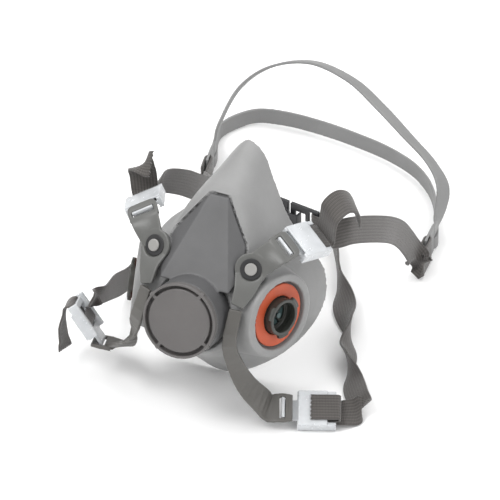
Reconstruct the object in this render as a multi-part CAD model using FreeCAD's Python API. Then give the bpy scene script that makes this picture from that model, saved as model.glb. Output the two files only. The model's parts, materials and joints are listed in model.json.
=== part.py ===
import FreeCAD, Part
import math
import os

# Half-face painters respirator without filters, lying on a table with its
# harness laid out behind it.  Units are millimetres, +Z is up, the mask
# faces -Y and +X is the viewer's right.

V = FreeCAD.Vector

# ---------------------------------------------------------------- driving
LEAN = 17.1                    # how far the mask leans back on its chin, degrees
SHIFT = V(0.87, -114.83, 96.5)    # moves the datum between the studs to the part's origin

WALL = 2.2                     # rubber wall of the cup
SEAL_LIP = 8.5                 # how far the face seal turns inward
FACE_RADIUS = 190.0            # curve of the face-side edge
FACE_Y = 56.0                  # face-side edge on the centre line

PORT_POS = V(47.5, 15.3, -28.6)  # centre of the right tube's mouth, mask frame
PORT_YAW = 20.0                # the ports point this far forward of sideways
TUBE_R = 10.7                  # bayonet tube, outside
BORE_R = 8.7                   # bayonet tube, inside, at its mouth
BORE_LEN = 3.6                 # how deep that bore is before it widens
BORE_WIDE = 9.0                # the bore behind it, with the spider
TUBE_IN = 15.2                 # mouth to inner end of the tube
LUG_R = 12.5
LUG_THICK = 2.2
PORT_FLANGE_R = 15.0
LIP_R = 24.6                   # rubber ring round the port
LIP_IN_R = 19.9
GASKET_R = 18.4
GASKET_IN_R = 11.3

VALVE_Z = -31.2                # exhalation valve axis height, mask frame
VALVE_FRONT = -24.0            # front of the guard ring
HOUSING_R = 21.7
HOUSING_IN_R = 19.3
DISC_R = 18.5

STUD = V(29.6, 0.0, 0.0)       # right stud, front of its cap
STUD_AXIS = V(0.24, -0.94, 0.24)
PLATE = 2.2                    # yoke plate thickness
TAB_W = 17.4                   # yoke end tab, width
SLOT_W = 13.2
SLOT_LEN = 3.4
BAR = 4.0                      # bar between slot and tab end

STRAP_W = 15.5
STRAP_T = 1.4
BUCKLE_HALF = 10.8             # buckle half width
BAND_T = 1.6                   # cradle band thickness
TABLE = -96.5                  # table top, below the studs

parts = {}


# ---------------------------------------------------------------- helpers
def unit(v):
    w = V(v)
    w.normalize()
    return w


def lerp(a, b, t):
    return a * (1.0 - t) + b * t


def rest(shape):
    """Turn a shape from the mask's own frame to the leaning rest pose."""
    s = shape.copy()
    s.rotate(V(0, 0, 0), V(1, 0, 0), -LEAN)
    return s


def rest_point(p):
    c, s = math.cos(math.radians(LEAN)), math.sin(math.radians(LEAN))
    return V(p.x, p.y * c + p.z * s, -p.y * s + p.z * c)


def mirrored(shape):
    return shape.mirror(V(0, 0, 0), V(1, 0, 0))


def flip(v):
    return V(-v.x, v.y, v.z)


def rod(p, axis, r, a, b):
    """Cylinder of radius r from station a to station b along axis through p."""
    return Part.makeCylinder(r, b - a, p + axis * a, axis)


def ring(p, axis, r_out, r_in, a, b):
    return rod(p, axis, r_out, a, b).cut(rod(p, axis, r_in, a - 1, b + 1))


def frame_box(o, x, y, z, x0, x1, y0, y1, z0, z1):
    """Box given in the right-handed frame x, y, z at o."""
    box = Part.makeBox(x1 - x0, y1 - y0, z1 - z0, V(x0, y0, z0))
    m = frame_matrix(o, x, y, z)
    return placed(box, m)


def placed(shape, m):
    s = shape.copy()
    s.Placement = FreeCAD.Placement(m).multiply(s.Placement)
    return s


def frame_matrix(o, x, y, z):
    return FreeCAD.Matrix(x.x, y.x, z.x, o.x, x.y, y.y, z.y, o.y, x.z, y.z, z.z, o.z)


def catmull(pts, t):
    """Point on the smooth curve through pts, t from 0 to 1."""
    n = len(pts) - 1
    i = min(int(t * n), n - 1)
    f = t * n - i
    p1, p2 = pts[i], pts[i + 1]
    p0 = pts[i - 1] if i else p1 * 2 - p2
    p3 = pts[i + 2] if i + 2 <= n else p2 * 2 - p1
    a = p1 * 2
    b = (p2 - p0) * f
    c = (p0 * 2 - p1 * 5 + p2 * 4 - p3) * (f * f)
    d = (p1 * 3 - p0 - p2 * 3 + p3) * (f * f * f)
    return (a + b + c + d) * 0.5


def skin(rings):
    """Closed solid of plane facets through rings of four corners."""
    solid = facets(rings)
    if solid.Volume < 0:
        solid = facets([q[::-1] for q in rings])
    return solid


def facets(rings):
    tris = []
    for a, b in zip(rings[:-1], rings[1:]):
        for k in range(4):
            j = (k + 1) % 4
            tris += [(a[k], a[j], b[j]), (a[k], b[j], b[k])]
    for q in (rings[0], rings[-1]):
        tris += [(q[0], q[1], q[2]), (q[0], q[2], q[3])]
    return Part.makeSolid(Part.makeShell([Part.Face(Part.makePolygon([p, q, r, p])) for p, q, r in tris]))


def section(c, w, n, width, thick):
    return [c + w * (sx * width / 2) + n * (sy * thick / 2)
            for sx, sy in ((-1, -1), (1, -1), (1, 1), (-1, 1))]


def rings_along(pts, across, widths, thick, count):
    """Sections of a flat band through pts; across is its width direction there."""
    rings = []
    for k in range(count + 1):
        t = k / count
        d = unit(catmull(pts, min(t + 0.002, 1.0)) - catmull(pts, max(t - 0.002, 0.0)))
        w = catmull(across, t)
        w = unit(w - d * w.dot(d))
        n = d.cross(w)
        width = catmull([V(x, 0, 0) for x in widths], t).x
        c = catmull(pts, t)
        c.z = max(c.z, TABLE + 0.1 + abs(w.z) * width / 2 + abs(n.z) * thick / 2)
        rings.append(section(c, w, n, width, thick))
    return rings


def band(pts, across, widths, thick, count):
    """Flat band of plane facets."""
    return skin(rings_along(pts, across, widths, thick, count))


def ribbon(pts, across, widths, thick, count):
    """Smooth flat band."""
    rings = rings_along(pts, across, widths, thick, count)
    return Part.makeLoft([Part.makePolygon(q + [q[0]]) for q in rings], True, False)


def u_profile(x_open, x_low, x_mid, z_mid, r_mid, width, side):
    """Band folded in a U: two layers and a half turn, in a local x-z plane.

    side +1 puts the turn at smaller x (wraps a bar from the left), -1 at larger x.
    """
    h = STRAP_T / 2
    ro, ri = r_mid + h, r_mid - h
    top_o, top_i = z_mid + ro, z_mid + ri
    low_o, low_i = z_mid - ro, z_mid - ri
    e = [Part.makeLine(V(x_open, 0, top_o), V(x_mid, 0, top_o)),
         Part.Arc(V(x_mid, 0, top_o), V(x_mid - side * ro, 0, z_mid), V(x_mid, 0, low_o)).toShape(),
         Part.makeLine(V(x_mid, 0, low_o), V(x_low, 0, low_o)),
         Part.makeLine(V(x_low, 0, low_o), V(x_low, 0, low_i)),
         Part.makeLine(V(x_low, 0, low_i), V(x_mid, 0, low_i)),
         Part.Arc(V(x_mid, 0, low_i), V(x_mid - side * ri, 0, z_mid), V(x_mid, 0, top_i)).toShape(),
         Part.makeLine(V(x_mid, 0, top_i), V(x_open, 0, top_i)),
         Part.makeLine(V(x_open, 0, top_i), V(x_open, 0, top_o))]
    face = Part.Face(Part.Wire(e))
    face.translate(V(0, -width / 2, 0))
    return face.extrude(V(0, width, 0))


# ---------------------------------------------------------------- facepiece
# outlines of the cup at depth y: half sections from the top to the bottom
SECTIONS = [
    (-3.0, [(0, -8), (9, -8.8), (16, -11.5), (21.5, -15.5), (24.5, -20), (26, -25),
            (26.5, -31), (26, -37), (23.5, -43), (18.5, -49), (11, -53.5), (0, -55.5)]),
    (6.0, [(0, 12), (9, 11), (17, 7.5), (23, 2.5), (27, -3), (30.5, -9.5),
           (33, -17), (34, -26), (32.5, -37), (26.5, -47.5), (15.5, -55.5), (0, -59)]),
    (16.0, [(0, 33), (8.5, 31.3), (16, 24.5), (22, 14.5), (27, 5), (32, -3.5),
            (36, -13), (38, -24.5), (36.5, -37.5), (30, -49.5), (17, -59), (0, -63.5)]),
    (28.0, [(0, 40.5), (9.5, 37.5), (16.5, 29.5), (22.5, 19), (28, 9), (34.5, -1),
            (40, -12), (42.5, -24), (40.5, -38.5), (32.5, -52.5), (18.5, -64), (0, -69.5)]),
    (42.0, [(0, 47.5), (9, 43.2), (15.5, 33.5), (22, 21.5), (28.5, 10.5), (37, 0),
            (44, -11.5), (47, -24), (44.5, -39.5), (35.5, -56), (20, -69.5), (0, -76.8)]),
    (54.0, [(0, 53.5), (8.5, 48), (14.5, 37.5), (21.5, 24), (29, 11.5), (40, -0.5),
            (48, -11.5), (51.2, -24), (48.5, -40.5), (38, -59), (21.5, -74.5), (0, -83.1)]),
    (66.0, [(0, 58.5), (8, 52), (14, 41), (21, 27), (29, 13.5), (41.5, 0.5),
            (50.5, -11), (53.5, -24), (50.5, -41.5), (39.5, -61), (22.5, -77.8), (0, -87.4)]),
]


def closed_outline(half):
    return half + [(-x, z) for x, z in reversed(half[1:-1])]


def inset(pts, d):
    """Move every point of a closed outline inward by d."""
    out = []
    n = len(pts)
    for i in range(n):
        ax, az = pts[i - 1]
        bx, bz = pts[(i + 1) % n]
        tx, tz = bx - ax, bz - az
        m = math.hypot(tx, tz)
        out.append((pts[i][0] + tz / m * d, pts[i][1] - tx / m * d))
    return out


def outline_wire(pts, y):
    curve = Part.BSplineCurve()
    curve.interpolate([V(x, y, z) for x, z in pts], PeriodicFlag=True)
    return Part.Wire(curve.toShape())


def outline_at(sections, y):
    """Outline at depth y, smooth through the given sections."""
    ys = [s[0] for s in sections]
    i = max(k for k in range(len(ys) - 1) if ys[k] <= y)
    f = (y - ys[i]) / (ys[i + 1] - ys[i])
    out = []
    for k in range(len(sections[0][1])):
        p = [V(sections[j][1][k][0], sections[j][0], sections[j][1][k][1])
             for j in range(len(sections))]
        m = []
        for j in (i, i + 1):
            a, b = p[max(j - 1, 0)], p[min(j + 1, len(p) - 1)]
            m.append((b - a) * ((ys[i + 1] - ys[i]) / (b.y - a.y)))
        h1 = (1 + 2 * f) * (1 - f) ** 2
        h2 = f * f * (3 - 2 * f)
        q = p[i] * h1 + p[i + 1] * h2 + m[0] * (f * (1 - f) ** 2) + m[1] * (f * f * (f - 1))
        out.append((q.x, q.z))
    return out


def cup(sections, steps):
    return Part.makeLoft([outline_wire(outline_at(sections, y), y) for y in steps], True, True)


port_axis = V(math.cos(math.radians(PORT_YAW)), -math.sin(math.radians(PORT_YAW)), 0)
port_up = V(0, 0, 1)
port_side = port_up.cross(port_axis)
stud_axis = unit(STUD_AXIS)
front = V(0, -1, 0)
valve_o = V(0, 0, VALVE_Z)

outer_sections = [(y, closed_outline(h)) for y, h in SECTIONS]
outer = cup(outer_sections, [-3, 0, 3, 6, 9, 12, 14, 16, 18, 21, 24.5, 28, 33, 38, 42, 46, 50, 54, 60, 65.9])
inner_sections = []
for y in (-3, 1, 6, 11, 16, 20, 28, 35, 42):
    inner_sections.append((y + 4.5, inset(outline_at(outer_sections, y), WALL)))
for y, d in ((50.5, 0.32), (55.0, 0.75), (60.0, 1.0), (65.8, 1.12)):
    inner_sections.append((y + 0.2, inset(outline_at(outer_sections, y), SEAL_LIP * d)))
inner = cup(inner_sections, [1.5, 5.5, 10.5, 15.5, 18, 20.5, 24.5, 28.5, 32.5, 36, 39.5, 43, 46.5,
                             49, 51.5, 53.5, 55.2, 58, 60.2, 65.99])
# ---------------------------------------------------------------- front shield
TOP = V(5.5, 14.9, 32.3)
BEND = V(21.7, 8.5, 8.7)
RIDGE = TOP + (V(19.0, -4.9, -9.7) - TOP) * 1.12
SIDE_N = (RIDGE - TOP).cross(BEND - TOP)
LOW = V(24.5, TOP.y - (SIDE_N.x * 19.0 + SIDE_N.z * -38.3) / SIDE_N.y, -6.0)
PANEL_T = 3.0


def panel(grow):
    """Folded front panel; grow widens it for the pocket in the rubber."""
    t, b, l, r = TOP, BEND, LOW, RIDGE
    if grow:
        out = unit(b - t)
        down = unit(l - b)
        b = b + (out - down) * grow
        l = l - unit(r - l) * grow
        t = t + (t - r) * (grow / 45.0) + (out - down) * 0.0
    back = V(0, PANEL_T + (0.3 if grow else 0.0), 0)
    faces = [[flip(t), t, r, flip(r)], [t, b, l, r], [flip(t), flip(r), flip(l), flip(b)]]
    solid = None
    for f in faces:
        if grow:
            f = [p - V(0, 1.0, 0) for p in f]
        prism = Part.Face(Part.makePolygon(f + [f[0]])).extrude(back + (V(0, 1.0, 0) if grow else V()))
        solid = prism if solid is None else solid.fuse(prism)
    return solid


EAR_R = 8.4
ear_back, ear_front = -6.3, -3.9
housing = rod(valve_o, front, HOUSING_R, 1.0, 19.7)
shield = panel(0).fuse(housing)
ears = []
for p, ax in ((STUD, stud_axis), (flip(STUD), flip(stud_axis))):
    ears.append(rod(p, ax, EAR_R, ear_back, ear_front))
for e in ears:
    shield = shield.fuse(e)
shield = shield.cut(rod(valve_o, front, HOUSING_IN_R, 3.6, 60.0))
shield = shield.cut(rod(valve_o, front, 14.8, -20.0, 10.0))
for p, ax in ((STUD, stud_axis), (flip(STUD), flip(stud_axis))):
    shield = shield.cut(rod(p, ax, 2.4, -12.0, -3.0))
    shield = shield.cut(rod(p, ax, 9.6, -3.95, 8.0))
shield = shield.removeSplitter()

# ---------------------------------------------------------------- facepiece body
mouth = PORT_POS
STEP_GASKET = -5.0             # gasket front face, from the mouth
STEP_LIP = -3.3                # rubber lip front
STEP_FLOOR = -8.0              # recess floor
STEP_PAD = -12.2               # inner face of the port pad
collars = []
for p, ax in ((mouth, port_axis), (flip(mouth), flip(port_axis))):
    cone = Part.makeCone(27.8, LIP_R, 18.0, p + ax * (STEP_LIP - 18.0), ax)
    collars.append(cone)
face = outer
for c in collars:
    face = face.fuse(c)
face = face.cut(inner)
for p, ax in ((mouth, port_axis), (flip(mouth), flip(port_axis))):
    face = face.fuse(rod(p, ax, 17.4, STEP_PAD, STEP_FLOOR + 0.5))
for p, ax in ((mouth, port_axis), (flip(mouth), flip(port_axis))):
    face = face.cut(rod(p, ax, LIP_IN_R, STEP_FLOOR, 8.0))
    face = face.cut(rod(p, ax, TUBE_R + 0.15, -24.0, 8.0))
    face = face.cut(rod(p, ax, PORT_FLANGE_R + 0.5, -24.0, STEP_PAD))
face = face.cut(panel(0.45))
face = face.cut(rod(valve_o, front, HOUSING_R + 0.35, 0.7, 40.0))
face = face.cut(rod(valve_o, front, 14.4, -12.0, 10.0))
for p, ax in ((STUD, stud_axis), (flip(STUD), flip(stud_axis))):
    face = face.cut(rod(p, ax, EAR_R + 0.4, ear_back - 0.4, 12.0))
face = face.cut(Part.makeCylinder(FACE_RADIUS, 300.0, V(0, FACE_Y + FACE_RADIUS, -150.0)))
solids = sorted(face.Solids, key=lambda s: -s.Volume)
face = solids[0]
parts["facepiece"] = rest(face)
parts["front_shield"] = rest(shield)

# ---------------------------------------------------------------- exhalation valve
seat = rod(valve_o, front, 18.9, 3.8, 6.4)
seat = seat.fuse(ring(valve_o, front, 14.4, 12.6, 6.4, 8.0)).cut(rod(valve_o, front, 12.6, 0.0, 20.0))
for k in range(3):
    arm = Part.makeBox(26.0, 4.0, 2.2, V(-13.0, -7.6, VALVE_Z - 1.1))
    arm.rotate(V(0, 0, VALVE_Z), V(0, 1, 0), 60.0 * k + 30.0)
    seat = seat.fuse(arm)
seat = seat.fuse(rod(valve_o, front, 3.4, 3.8, 7.6)).cut(rod(valve_o, front, 1.5, 0.0, 20.0))
parts["valve_seat"] = rest(seat.removeSplitter())

flap = rod(valve_o, front, 15.8, 8.1, 8.9)
flap = flap.fuse(rod(valve_o, front, 1.2, 2.2, 8.5)).fuse(rod(valve_o, front, 1.9, 1.0, 2.4))
flap = flap.fuse(rod(valve_o, front, 2.6, 8.9, 10.2))
parts["exhalation_flap"] = rest(flap.removeSplitter())

cover = rod(valve_o, front, DISC_R, 20.6, 23.4)
cover = cover.makeFillet(0.8, [e for e in cover.Edges if e.BoundBox.YMax < -23.3])
cover = cover.fuse(ring(valve_o, front, HOUSING_R, 20.3, 19.9, 24.0))
cover = cover.fuse(ring(valve_o, front, HOUSING_IN_R - 0.25, 17.6, 15.0, 21.0))
cover = cover.fuse(ring(valve_o, front, 20.6, 18.8, 19.9, 20.6))
for k in range(4):
    spoke = Part.makeBox(6.0, 2.6, 1.9, V(16.5, -23.2, VALVE_Z - 0.95))
    spoke.rotate(V(0, 0, VALVE_Z), V(0, 1, 0), 90.0 * k + 32.0)
    cover = cover.fuse(spoke)
for k in range(8):
    window = Part.makeBox(9.0, 3.4, 9.5, V(13.0, -19.6, VALVE_Z - 4.75))
    window.rotate(V(0, 0, VALVE_Z), V(0, 1, 0), 45.0 * k)
    cover = cover.cut(window)
parts["exhalation_cover"] = rest(cover.removeSplitter())

# ---------------------------------------------------------------- inlet ports
SPIDER_A, SPIDER_B = -8.4, -6.9


def inlet_port(p, ax, side):
    body = ring(p, ax, TUBE_R, BORE_R, -TUBE_IN, 0.0)
    body = body.fuse(ring(p, ax, PORT_FLANGE_R, BORE_R, -TUBE_IN + 0.6, STEP_PAD - 0.1))
    body = body.cut(rod(p, ax, BORE_WIDE, -TUBE_IN - 1.0, -BORE_LEN))
    body = body.fuse(ring(p, ax, BORE_WIDE + 0.3, 7.2, SPIDER_A, SPIDER_B))
    cross = port_up.cross(ax)
    for k in range(2):
        bar = frame_box(p, ax, cross, port_up, SPIDER_A, SPIDER_B, -9.2, 9.2, -0.9, 0.9)
        bar.rotate(p, ax, 90.0 * k + 45.0)
        body = body.fuse(bar)
    body = body.fuse(rod(p, ax, 2.4, SPIDER_A, SPIDER_B)).cut(rod(p, ax, 1.2, -20.0, 5.0))
    for k in range(3):
        lug = ring(p, ax, LUG_R, TUBE_R - 0.6, -LUG_THICK - 0.4, -0.4)
        keep = frame_box(p, ax, cross, port_up, -5.0, 2.0, 0.0, 14.0, -3.9, 3.9)
        keep.rotate(p, ax, 120.0 * k + 40.0 * side)
        body = body.fuse(lug.common(keep))
    return body.removeSplitter()


def inhalation_flap(p, ax):
    disc = rod(p, ax, 8.2, SPIDER_A - 0.75, SPIDER_A - 0.1)
    stem = rod(p, ax, 0.9, SPIDER_A - 0.4, SPIDER_B + 2.0)
    knob = rod(p, ax, 1.7, SPIDER_B + 1.9, SPIDER_B + 2.7)
    return disc.fuse(stem).fuse(knob).removeSplitter()


for tag, p, ax, sgn in (("right", mouth, port_axis, 1), ("left", flip(mouth), flip(port_axis), -1)):
    parts["inlet_port_" + tag] = rest(inlet_port(p, ax, sgn))
    gasket = ring(p, ax, GASKET_R, GASKET_IN_R, STEP_FLOOR + 0.05, STEP_GASKET)
    parts["inhalation_gasket_" + tag] = rest(gasket)
    parts["inhalation_flap_" + tag] = rest(inhalation_flap(p, ax))

# ---------------------------------------------------------------- yokes, studs
TAB_DIR = unit(V(0.57, 0.60, 0.55))
TAB_ACROSS = V(0.874, -0.208, -0.437)
TAB_ACROSS = unit(TAB_ACROSS - TAB_DIR * TAB_ACROSS.dot(TAB_DIR))
TAB_O = V(41.0, 10.6, 11.1)
HINGE_U = 2.0 + SLOT_LEN + BAR / 2
TAB_LEN = 2.0 + SLOT_LEN + BAR


def end_tab(o, d, n):
    """Slotted end: d away from the stud, n the front side."""
    w = n.cross(d)
    tab = frame_box(o, d, w, n, -1.0, TAB_LEN, -TAB_W / 2, TAB_W / 2, -PLATE / 2, PLATE / 2)
    tab = tab.makeFillet(3.4, [e for e in tab.Edges if corner_edge(e, o, d, n)])
    slot = frame_box(o, d, w, n, 2.0, 2.0 + SLOT_LEN, -SLOT_W / 2, SLOT_W / 2, -3.0, 3.0)
    return tab.cut(slot)


def corner_edge(e, o, d, n):
    a, b = e.Vertexes[0].Point, e.Vertexes[-1].Point
    return abs((a - b).normalize().dot(n)) > 0.99 and (a - o).dot(d) > TAB_LEN - 0.5


plate_o = STUD + stud_axis * -2.6
arm_dir = unit(TAB_DIR - stud_axis * TAB_DIR.dot(stud_axis))
tab_n = unit(TAB_ACROSS.cross(TAB_DIR))
CREASE = V(27.3, -9.2, -20.6)
crease_across = V(0.952, 0.229, -0.203)


def yoke():
    body = rod(STUD, stud_axis, 9.2, -2.6 - PLATE / 2, -2.6 + PLATE / 2)
    across0 = stud_axis.cross(arm_dir)
    across1 = tab_n.cross(TAB_DIR)
    pts = [plate_o + arm_dir * 1.0, plate_o + arm_dir * 6.5, TAB_O - TAB_DIR * 3.5, TAB_O + TAB_DIR * 1.2]
    body = body.fuse(ribbon(pts, [across0, across0, across1, across1],
                            [13.0, 15.0, TAB_W - 1.4, TAB_W - 0.8], PLATE - 0.24, 10))
    body = body.fuse(end_tab(TAB_O, TAB_DIR, tab_n))
    mid = lerp(plate_o, CREASE, 0.5) + V(0.9, -0.3, 0)
    top = plate_o + unit(CREASE - plate_o) * 2.0 + V(0, 0.35, 0)
    body = body.fuse(ribbon([top, mid, CREASE + unit(mid - CREASE) * 0.9],
                            [V(1, 0, -0.1), crease_across, crease_across], [17.0, 12.5, 7.4], PLATE - 0.16, 8))
    body = body.cut(rod(STUD, stud_axis, 2.9, -12.0, 4.0))
    body = body.cut(rod(STUD, stud_axis, 6.5, -1.5, 4.0))
    return body


yoke_r = yoke()
parts["yoke_right"] = rest(yoke_r)
parts["yoke_left"] = rest(mirrored(yoke_r))
for tag, p, ax in (("right", STUD, stud_axis), ("left", flip(STUD), flip(stud_axis))):
    cap = rod(p, ax, 3.5, -0.85, 0.4)
    cap = cap.makeFillet(0.5, [e for e in cap.Edges if (e.BoundBox.Center - p).dot(ax) > 0.2])
    parts["stud_" + tag] = rest(cap.fuse(rod(p, ax, 2.3, -6.2, -0.8)).removeSplitter())
    parts["stud_ring_" + tag] = rest(ring(p, ax, 6.1, 2.6, -1.45, -0.95))

# the arms below the crease, buckles and straps are laid out in the rest frame
LEFT_HINGE = V(-66.4, 2.1, -77.6)
LEFT_DIR = unit(V(-0.943, -0.225, 0.106))
LEFT_N = unit(V(0.042, 0.262, 0.933))
RIGHT_HINGE = V(54.5, -3.5, -85.3)
RIGHT_DIR = unit(V(0.93, 0.37, 0.03))
RIGHT_N = V(0.149, -0.447, 0.885)
RIGHT_N = unit(RIGHT_N - RIGHT_DIR * RIGHT_N.dot(RIGHT_DIR))
LEFT_N = unit(LEFT_N - LEFT_DIR * LEFT_N.dot(LEFT_DIR))


def lower_arm(crease, mids, hinge, d, n, n0):
    o = hinge - d * HINGE_U
    pts = [crease] + mids + [o - d * 4.0, o + d * 1.0, o + d * (TAB_LEN * 0.5), o + d * TAB_LEN]
    norms = [n0, n0, lerp(n0, n, 0.4), lerp(n0, n, 0.75), lerp(n0, n, 0.95), n, n, n, n]
    across = []
    for k in range(len(pts)):
        t = unit(pts[min(k + 1, len(pts) - 1)] - pts[max(k - 1, 0)])
        across.append(unit(norms[k]).cross(t))
    widths = [7.2, 8.0, 9.8, 12.4, 14.8, 16.6, TAB_W, TAB_W, TAB_W - 1.6]
    body = skin(rings_along(pts, across, widths, PLATE, 22))
    slot = frame_box(o, d, n.cross(d), n, 2.0, 2.0 + SLOT_LEN, -SLOT_W / 2, SLOT_W / 2, -3.0, 3.0)
    return body.cut(slot)


crease_r = rest_point(CREASE)
n0_r = unit(V(0.245, -0.894, 0.351))
ARM_ROOT = V(0, -0.45, -1.2)       # the lower arm starts just under the crease
arm_r = lower_arm(crease_r + ARM_ROOT,
                  [V(26.4, -22.6, -36.5), V(29.0, -18.8, -54.1), V(34.2, -15.0, -68.5), V(41.0, -10.5, -79.5)],
                  RIGHT_HINGE, RIGHT_DIR, RIGHT_N, n0_r)
arm_l = lower_arm(flip(crease_r) + ARM_ROOT,
                  [V(-31.0, -19.7, -35.4), V(-35.8, -15.5, -50.3), V(-42.9, -7.9, -64.7), V(-50.2, 0.5, -74.5)],
                  LEFT_HINGE, LEFT_DIR, LEFT_N, flip(n0_r))
parts["lower_arm_right"] = arm_r
parts["lower_arm_left"] = arm_l

# ---------------------------------------------------------------- buckles
BAR_Z0, BAR_Z1 = -4.3, -2.5
TURN_X, TURN_Z, TURN_R = 12.0, -3.4, 1.85
LOOP_X = 27.0
PLATE_X0, PLATE_X1 = 5.2, 21.5     # cover plate over the folded strap
PLATE_Z0, PLATE_Z1 = -0.5, 0.7


class Buckle:
    """Ladder buckle hooked round a tab's end bar; bend is the angle to the tab."""

    def __init__(self, hinge, d, n, bend):
        b = math.radians(bend)
        self.o = hinge
        self.x = unit(d * math.cos(b) - n * math.sin(b))
        self.z = unit(n * math.cos(b) + d * math.sin(b))
        self.y = self.z.cross(self.x)
        self.bend = bend

    def box(self, x0, x1, y0, y1, z0, z1):
        return frame_box(self.o, self.x, self.y, self.z, x0, x1, y0, y1, z0, z1)

    def place(self, shape):
        return placed(shape, frame_matrix(self.o, self.x, self.y, self.z))

    def point(self, x, y, z):
        return self.o + self.x * x + self.y * y + self.z * z

    def body(self):
        h = BUCKLE_HALF
        end = math.radians(180.0 + self.bend - 30.0)
        half = SLOT_W / 2 - 0.45
        ri, ro = BAR / 2 + 0.55, 4.3
        mid = (math.radians(270.0) + end) / 2
        low = math.radians(270.0)

        def p(r, a):
            return V(r * math.cos(a), -half, r * math.sin(a))

        hook = Part.Face(Part.Wire([
            Part.Arc(p(ri, low), p(ri, mid), p(ri, end)).toShape(), Part.makeLine(p(ri, end), p(ro, end)),
            Part.Arc(p(ro, end), p(ro, mid), p(ro, low)).toShape(), Part.makeLine(p(ro, low), p(ri, low))]))
        body = self.place(hook.extrude(V(0, 2 * half, 0)))
        body = body.fuse(self.box(-0.2, 8.4, -half, half, BAR_Z0, BAR_Z0 + 1.75))
        body = body.fuse(self.box(4.6, 8.4, -h, h, BAR_Z0, BAR_Z1))
        body = body.fuse(self.box(11.6, 15.0, -h, h, BAR_Z0, BAR_Z1))
        body = body.fuse(self.box(21.5, 25.0, -h, h, BAR_Z0, BAR_Z1))
        body = body.fuse(self.box(PLATE_X0, PLATE_X1, -h, h, PLATE_Z0, PLATE_Z1))
        for s in (-1, 1):
            y0, y1 = sorted((s * (STRAP_W / 2 + 0.6), s * h))
            rail = self.box(4.6, 26.4, y0, y1, -6.5, -0.5)
            body = body.fuse(rail)
        return body.removeSplitter()


tab_o_r = rest_point(TAB_O)
tab_d_r = rest_point(TAB_DIR)
tab_n_r = rest_point(tab_n)
upper_hinge = tab_o_r + tab_d_r * HINGE_U
buckles = {
    "upper_right": Buckle(upper_hinge, tab_d_r, tab_n_r, 38.0),
    "upper_left": Buckle(flip(upper_hinge), flip(tab_d_r), flip(tab_n_r), 38.0),
    "lower_right": Buckle(RIGHT_HINGE, RIGHT_DIR, RIGHT_N, 2.0),
    "lower_left": Buckle(LEFT_HINGE, LEFT_DIR, -LEFT_N, 47.0),
}
for tag, b in buckles.items():
    parts["buckle_" + tag] = b.body()

# ---------------------------------------------------------------- elastic straps
EDGE_Z = TABLE + STRAP_W / 2 + 0.15
GAP = 0.8                      # clearance between a strap and the piece it carries on


def tail(b, pts, across, count, x_in=LOOP_X, x_out=LOOP_X):
    """Free end: in under the bars, round the ladder bar and out on top."""
    rings = []
    turn = [(x_in, -TURN_R), (TURN_X + 5.0, -TURN_R)]
    for k in range(9):
        a = math.radians(270.0 - 22.5 * k)
        turn.append((TURN_X + TURN_R * math.cos(a), TURN_R * math.sin(a)))
    turn += [(TURN_X + 7.0, TURN_R), (x_out - 1.0, TURN_R)]
    for k, (x, z) in enumerate(turn):
        x0, z0 = turn[max(k - 1, 0)]
        x1, z1 = turn[min(k + 1, len(turn) - 1)]
        if k in (0, 1):
            x0, z0, x1, z1 = LOOP_X, -TURN_R, TURN_X, -TURN_R
        if k >= len(turn) - 2:
            x0, z0, x1, z1 = TURN_X, TURN_R, LOOP_X, TURN_R
        d = unit(b.x * (x1 - x0) + b.z * (z1 - z0))
        rings.append(section(b.point(x, 0, TURN_Z + z), b.y, d.cross(b.y), STRAP_W, STRAP_T))
    start = b.point(x_out, 0, TURN_Z + TURN_R)
    path = [start, b.point(x_out + 2.5, 0, TURN_Z + TURN_R + 0.4)] + pts
    rings += rings_along(path, [b.y, b.y] + across, [STRAP_W] * len(path), STRAP_T, count)
    return skin(rings)


UP = V(0, 0, 1)
bur, bul, blr, bll = (buckles[k] for k in ("upper_right", "upper_left", "lower_right", "lower_left"))

# head cradle: two bands between end plates that stand on the table
END_R = V(63.0, 185.0, TABLE + 9.0)
END_L = V(-86.6, 209.6, TABLE + 9.0)
END_H = 17.6
END_LEN = 15.0
end_dir_r = unit(V(0.12, -1.0, 0.0))       # from the bands towards the strap
end_dir_l = unit(V(0.20, -1.0, 0.0))
side = unit(END_R - END_L)
away = UP.cross(side)
CROWN_TILT = 45.0
crown_up = away * math.cos(math.radians(CROWN_TILT)) + UP * math.sin(math.radians(CROWN_TILT))
crown_n = UP * math.cos(math.radians(CROWN_TILT)) - away * math.sin(math.radians(CROWN_TILT))
centre = (END_R + END_L) * 0.5


def crown_point(s, q):
    return centre + side * s + crown_up * q + UP * 4.6


def end_plate(o, d):
    """Upright plate with a strap slot near its free end."""
    n = d.cross(UP)
    body = frame_box(o, d, UP, n, -1.0, END_LEN, -END_H / 2, END_H / 2, -BAND_T / 2, BAND_T / 2)
    h = STRAP_W / 2 + 0.35
    return body.cut(frame_box(o, d, UP, n, 7.2, 11.6, -h, h, -3.0, 3.0))


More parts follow.
